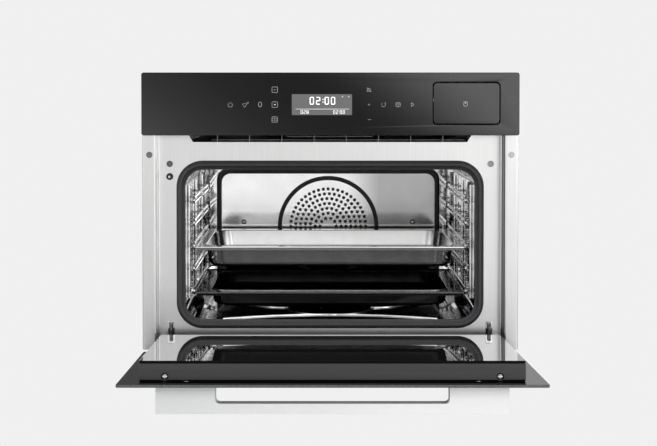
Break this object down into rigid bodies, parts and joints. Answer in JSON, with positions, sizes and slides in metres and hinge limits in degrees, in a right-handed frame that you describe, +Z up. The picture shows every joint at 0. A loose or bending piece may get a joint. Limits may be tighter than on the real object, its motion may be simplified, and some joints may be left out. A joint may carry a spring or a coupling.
{
  "type": "built-in oven",
  "caption": "Compact built-in steam oven with drop-down glass door, touch control panel, push-in water tank, side racks and two trays.",
  "frame": {"origin": "on the centre line, where the cabinet's front plane meets the underside of the base pan", "axes": "+Z up, +Y from the user into the cabinet, +X to the user's right"},
  "size_m": [0.595, 0.8764, 0.4744],
  "materials": {
    "steel_brushed": "brushed stainless steel",
    "steel_polished": "bright annealed stainless steel",
    "zinc_sheet": "galvanised sheet",
    "black_glass": "back-printed black glass",
    "dark_plastic": "satin",
    "seal_silicone": "matt silicone",
    "black_enamel": "glossy vitreous enamel",
    "chromed_wire": "polished wire",
    "grey_rubber": "matt",
    "mineral_wool": "loose fibre mat",
    "motor_steel": "satin",
    "heater_sheath": "heat-tinted metal sheath",
    "lamp_glass": "clear, prismatic",
    "ceramic": "glazed ceramic",
    "circuit_board": "solder resist",
    "silicone_pipe": "translucent silicone",
    "display": "backlit panel",
    "grey_plastic": "satin",
    "clear_plastic": "clear moulded",
    "clear_glass": "float glass",
    "tinted_glass": "heat-reflecting coated glass",
    "handle_aluminium": "light anodised"
  },
  "bodies": {
    "oven_body": {"front_frame": "steel_brushed", "mounting_strips": "zinc_sheet", "screw_grommets": "grey_rubber", "door_bumpers": "grey_rubber", "hinge_plates": "steel_polished", "hinge_claws": "zinc_sheet", "hinge_receivers": "zinc_sheet", "door_switch": "dark_plastic", "cavity_shell": "steel_polished", "cavity_back": "steel_polished", "door_seal": "seal_silicone", "insulation": "mineral_wool", "rack_left": "chromed_wire", "rack_right": "chromed_wire", "rack_nuts": "chromed_wire", "fan_baffle": "steel_polished", "baffle_screws": "zinc_sheet", "fan_motor": "motor_steel", "ring_heater": "heater_sheath", "evaporator_dish": "steel_polished", "evaporator_heater": "heater_sheath", "lamp_lens": "lamp_glass", "lamp_holder": "ceramic", "temperature_probe": "steel_polished", "base_pan": "zinc_sheet", "side_panels": "zinc_sheet", "top_cover": "zinc_sheet", "rear_cover": "zinc_sheet", "cable_gland": "grey_rubber", "terminal_block": "ceramic", "air_duct": "zinc_sheet", "outlet_fins": "dark_plastic", "blower_housing": "zinc_sheet", "blower_motor": "motor_steel", "power_board": "circuit_board", "steam_pump": "dark_plastic", "water_pipe": "silicone_pipe", "control_glass": "black_glass", "panel_carrier": "dark_plastic", "display_module": "display", "touch_board": "circuit_board", "tank_housing": "grey_plastic"},
    "door": {"outer_glass": "black_glass", "middle_glass": "clear_glass", "inner_glass": "tinted_glass", "door_side_profiles": "dark_plastic", "door_top_trim": "dark_plastic", "door_bottom_profile": "dark_plastic", "door_hinges": "zinc_sheet", "door_handle": "handle_aluminium", "door_screws": "zinc_sheet"},
    "water_tank": {"tank_front": "black_glass", "tank_body": "clear_plastic", "tank_lid": "dark_plastic"},
    "steel_tray": {"steel_tray": "steel_brushed"},
    "enamel_tray": {"enamel_tray": "black_enamel"},
    "convection_fan": {"convection_fan": "zinc_sheet"},
    "cooling_fan": {"cooling_fan": "zinc_sheet"},
    "switch_plunger": {"switch_plunger": "dark_plastic"}
  },
  "joints": [
    {"name": "door_hinge", "type": "hinge", "parent": "oven_body", "child": "door", "pos_m": [0, -0.006, 0.022], "axis": [-1, 0, 0], "range_deg": [0, 87.4]},
    {"name": "tank_slide", "type": "slide", "parent": "oven_body", "child": "water_tank", "axis": [0, 1, 0], "range_m": [-0.15, 0]},
    {"name": "steel_tray_slide", "type": "slide", "parent": "oven_body", "child": "steel_tray", "axis": [0, 1, 0], "range_m": [-0.28, 0]},
    {"name": "enamel_tray_slide", "type": "slide", "parent": "oven_body", "child": "enamel_tray", "axis": [0, 1, 0], "range_m": [-0.28, 0]},
    {"name": "convection_fan_spin", "type": "hinge", "parent": "oven_body", "child": "convection_fan", "pos_m": [0, 0.4, 0.1744], "axis": [0, 1, 0], "continuous": true},
    {"name": "cooling_fan_spin", "type": "hinge", "parent": "oven_body", "child": "cooling_fan", "pos_m": [0, 0.432, 0.372], "axis": [1, 0, 0], "continuous": true},
    {"name": "switch_press", "type": "slide", "parent": "oven_body", "child": "switch_plunger", "axis": [0, 1, 0], "range_m": [0, 0.003], "stiffness_N_per_m": 300, "springref_m": -0.003}
  ]
}
